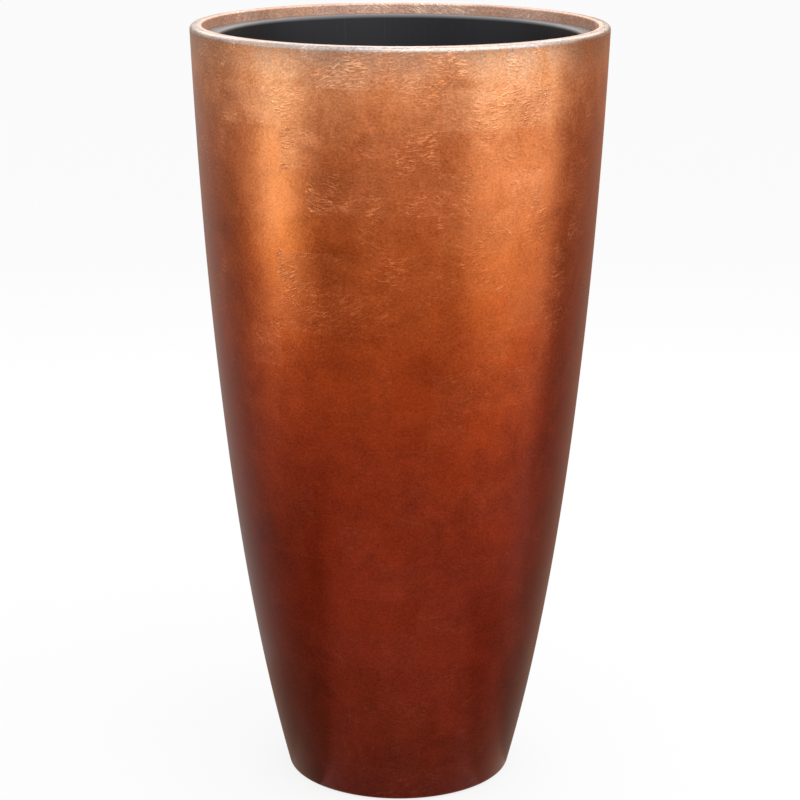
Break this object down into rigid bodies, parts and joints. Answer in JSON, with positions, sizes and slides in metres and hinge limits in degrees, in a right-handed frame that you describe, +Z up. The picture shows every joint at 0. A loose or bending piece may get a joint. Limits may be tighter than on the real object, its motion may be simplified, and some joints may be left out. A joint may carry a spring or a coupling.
{
  "type": "floor planter",
  "caption": "Tall round floor planter, a metal-leafed tapered shell on hidden pads, with a drop-in plastic liner that lifts out by fold-down wire handles.",
  "frame": {"origin": "centre of the circle that the planter stands on, on the floor", "axes": "+Z up along the planter's round axis; the two lift handles of the liner are at -X and +X; the picture looks along +Y"},
  "size_m": [0.4796, 0.4796, 0.9],
  "materials": {
    "copper_leaf": "resin laminate covered with squares of copper leaf, toned darker towards the base, under satin lacquer",
    "liner_plastic": "satin moulded plastic, dark charcoal",
    "bracket_plastic": "fine matt moulded plastic, black",
    "handle_wire": "drawn steel wire, zinc plated",
    "rivet_metal": "plain aluminium",
    "pad_rubber": "plain black rubber"
  },
  "bodies": {
    "shell": {"outer_shell": "copper_leaf", "rim_collar": "copper_leaf", "foot_pad_1": "pad_rubber", "foot_pad_2": "pad_rubber", "foot_pad_3": "pad_rubber", "foot_pad_4": "pad_rubber", "foot_pad_5": "pad_rubber", "foot_pad_6": "pad_rubber"},
    "drain_bung": {"drain_bung": "pad_rubber"},
    "liner": {"liner": "liner_plastic", "handle_bracket_left": "bracket_plastic", "handle_bracket_right": "bracket_plastic", "bracket_rivets_left": "rivet_metal", "bracket_rivets_right": "rivet_metal"},
    "lift_handle_left": {"lift_handle_left": "handle_wire"},
    "lift_handle_right": {"lift_handle_right": "handle_wire"}
  },
  "joints": [
    {"name": "liner_lift", "type": "slide", "parent": "shell", "child": "liner", "axis": [0, 0, 1], "range_m": [0, 0.4]},
    {"name": "lift_handle_left_fold", "type": "hinge", "parent": "liner", "child": "lift_handle_left", "pos_m": [-0.18743, 0, 0.861], "axis": [0, -1, 0], "range_deg": [0, 180]},
    {"name": "lift_handle_right_fold", "type": "hinge", "parent": "liner", "child": "lift_handle_right", "pos_m": [0.18743, 0, 0.861], "axis": [0, 1, 0], "range_deg": [0, 180]},
    {"name": "drain_bung_pull", "type": "slide", "parent": "shell", "child": "drain_bung", "axis": [0, 0, 1], "range_m": [0, 0.03]}
  ]
}
